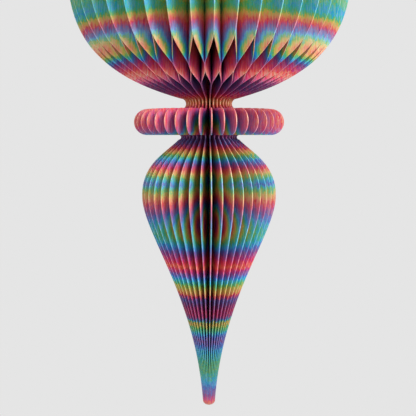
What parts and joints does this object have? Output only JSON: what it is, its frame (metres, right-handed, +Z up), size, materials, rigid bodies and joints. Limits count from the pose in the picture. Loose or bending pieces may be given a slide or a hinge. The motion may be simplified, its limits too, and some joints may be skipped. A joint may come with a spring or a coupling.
{
  "type": "paper finial decoration",
  "caption": "Hanging paper finial of folded, die-cut card leaves glued in a ring: a round top lobe with honeycomb cells, a narrow waist, a collar ring and a long pointed drop.",
  "frame": {"origin": "top of the open spine on the axis, where the finial hangs", "axes": "+Z up along the spine, against the pointed tip; +X along the middle plane of leaf_01"},
  "size_m": [0.2208, 0.2208, 0.4307],
  "materials": {
    "printed_paper": "matte"
  },
  "bodies": {
    "root": {"leaf_01": "printed_paper", "leaf_02": "printed_paper", "leaf_03": "printed_paper", "leaf_04": "printed_paper", "leaf_05": "printed_paper", "leaf_06": "printed_paper", "leaf_07": "printed_paper", "leaf_08": "printed_paper", "leaf_09": "printed_paper", "leaf_10": "printed_paper", "leaf_11": "printed_paper", "leaf_12": "printed_paper", "leaf_13": "printed_paper", "leaf_14": "printed_paper", "leaf_15": "printed_paper", "leaf_16": "printed_paper", "leaf_17": "printed_paper", "leaf_18": "printed_paper", "leaf_19": "printed_paper", "leaf_20": "printed_paper", "leaf_21": "printed_paper", "leaf_22": "printed_paper", "leaf_23": "printed_paper", "leaf_24": "printed_paper", "leaf_25": "printed_paper", "leaf_26": "printed_paper", "leaf_27": "printed_paper", "leaf_28": "printed_paper", "leaf_29": "printed_paper", "leaf_30": "printed_paper", "leaf_31": "printed_paper", "leaf_32": "printed_paper", "leaf_33": "printed_paper", "leaf_34": "printed_paper", "leaf_35": "printed_paper", "leaf_36": "printed_paper", "leaf_37": "printed_paper", "leaf_38": "printed_paper", "leaf_39": "printed_paper", "leaf_40": "printed_paper"}
  },
  "joints": []
}
